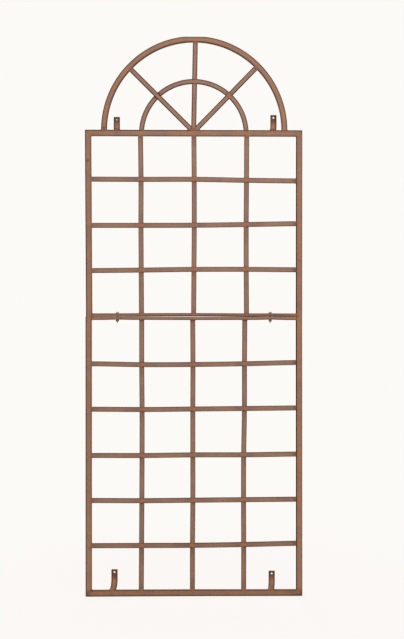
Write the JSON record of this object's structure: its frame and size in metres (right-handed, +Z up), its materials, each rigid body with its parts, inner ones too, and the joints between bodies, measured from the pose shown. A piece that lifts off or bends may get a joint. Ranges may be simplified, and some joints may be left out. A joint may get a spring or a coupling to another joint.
{
  "type": "plant trellis",
  "caption": "Flat arched wall trellis of rusty brown steel: two bolted lattice panels, a half-round fanlight head and bent wall tabs.",
  "frame": {"origin": "middle of the underside of the bottom rail, half way through the frame's depth", "axes": "+Z up along the uprights, +X to the right seen from the front, +Y backwards to the wall"},
  "size_m": [0.7, 0.043, 1.8],
  "materials": {
    "coated_steel": "matt rust-brown coat with a mottle of orange, purple and olive, oranger over the welds",
    "dark_steel": "dull dark grey plated steel with some rust"
  },
  "bodies": {
    "lower_panel": {"lower_left_stile": "coated_steel", "lower_right_stile": "coated_steel", "bottom_rail": "coated_steel", "lower_mating_rail": "coated_steel", "lower_upright_1": "coated_steel", "lower_upright_2": "coated_steel", "lower_upright_3": "coated_steel", "lower_crossbar_1": "coated_steel", "lower_crossbar_2": "coated_steel", "lower_crossbar_3": "coated_steel", "lower_crossbar_4": "coated_steel", "lower_crossbar_5": "coated_steel", "bottom_left_wall_tab": "coated_steel", "bottom_right_wall_tab": "coated_steel"},
    "upper_panel": {"upper_left_stile": "coated_steel", "upper_right_stile": "coated_steel", "top_rail": "coated_steel", "upper_mating_rail": "coated_steel", "upper_upright_1": "coated_steel", "upper_upright_2": "coated_steel", "upper_upright_3": "coated_steel", "upper_crossbar_1": "coated_steel", "upper_crossbar_2": "coated_steel", "upper_crossbar_3": "coated_steel", "outer_arch": "coated_steel", "inner_arch": "coated_steel", "left_spoke": "coated_steel", "centre_spoke": "coated_steel", "right_spoke": "coated_steel", "top_left_wall_tab": "coated_steel", "top_right_wall_tab": "coated_steel"},
    "left_bolt": {"bolt_left": "dark_steel"},
    "right_bolt": {"bolt_right": "dark_steel"},
    "left_nut": {"nut_left": "dark_steel"},
    "right_nut": {"nut_right": "dark_steel"}
  },
  "joints": [
    {"name": "upper_panel_lift", "type": "slide", "parent": "lower_panel", "child": "upper_panel", "axis": [0, 0, 1], "range_m": [0, 0.06]},
    {"name": "left_bolt_turn", "type": "hinge", "parent": "upper_panel", "child": "left_bolt", "pos_m": [-0.246, 0, 0.91], "axis": [0, 0, 1], "range_deg": [0, 3600]},
    {"name": "right_bolt_turn", "type": "hinge", "parent": "upper_panel", "child": "right_bolt", "pos_m": [0.246, 0, 0.91], "axis": [0, 0, 1], "range_deg": [0, 3600]},
    {"name": "left_nut_travel", "type": "slide", "parent": "lower_panel", "child": "left_nut", "axis": [0, 0, -1], "range_m": [0, 0.01]},
    {"name": "right_nut_travel", "type": "slide", "parent": "lower_panel", "child": "right_nut", "axis": [0, 0, -1], "range_m": [0, 0.01]}
  ],
  "couplings": [
    {"joint": "left_nut_travel", "follows": "left_bolt_turn", "m_per_rad": 0.00015915},
    {"joint": "right_nut_travel", "follows": "right_bolt_turn", "m_per_rad": 0.00015915}
  ]
}
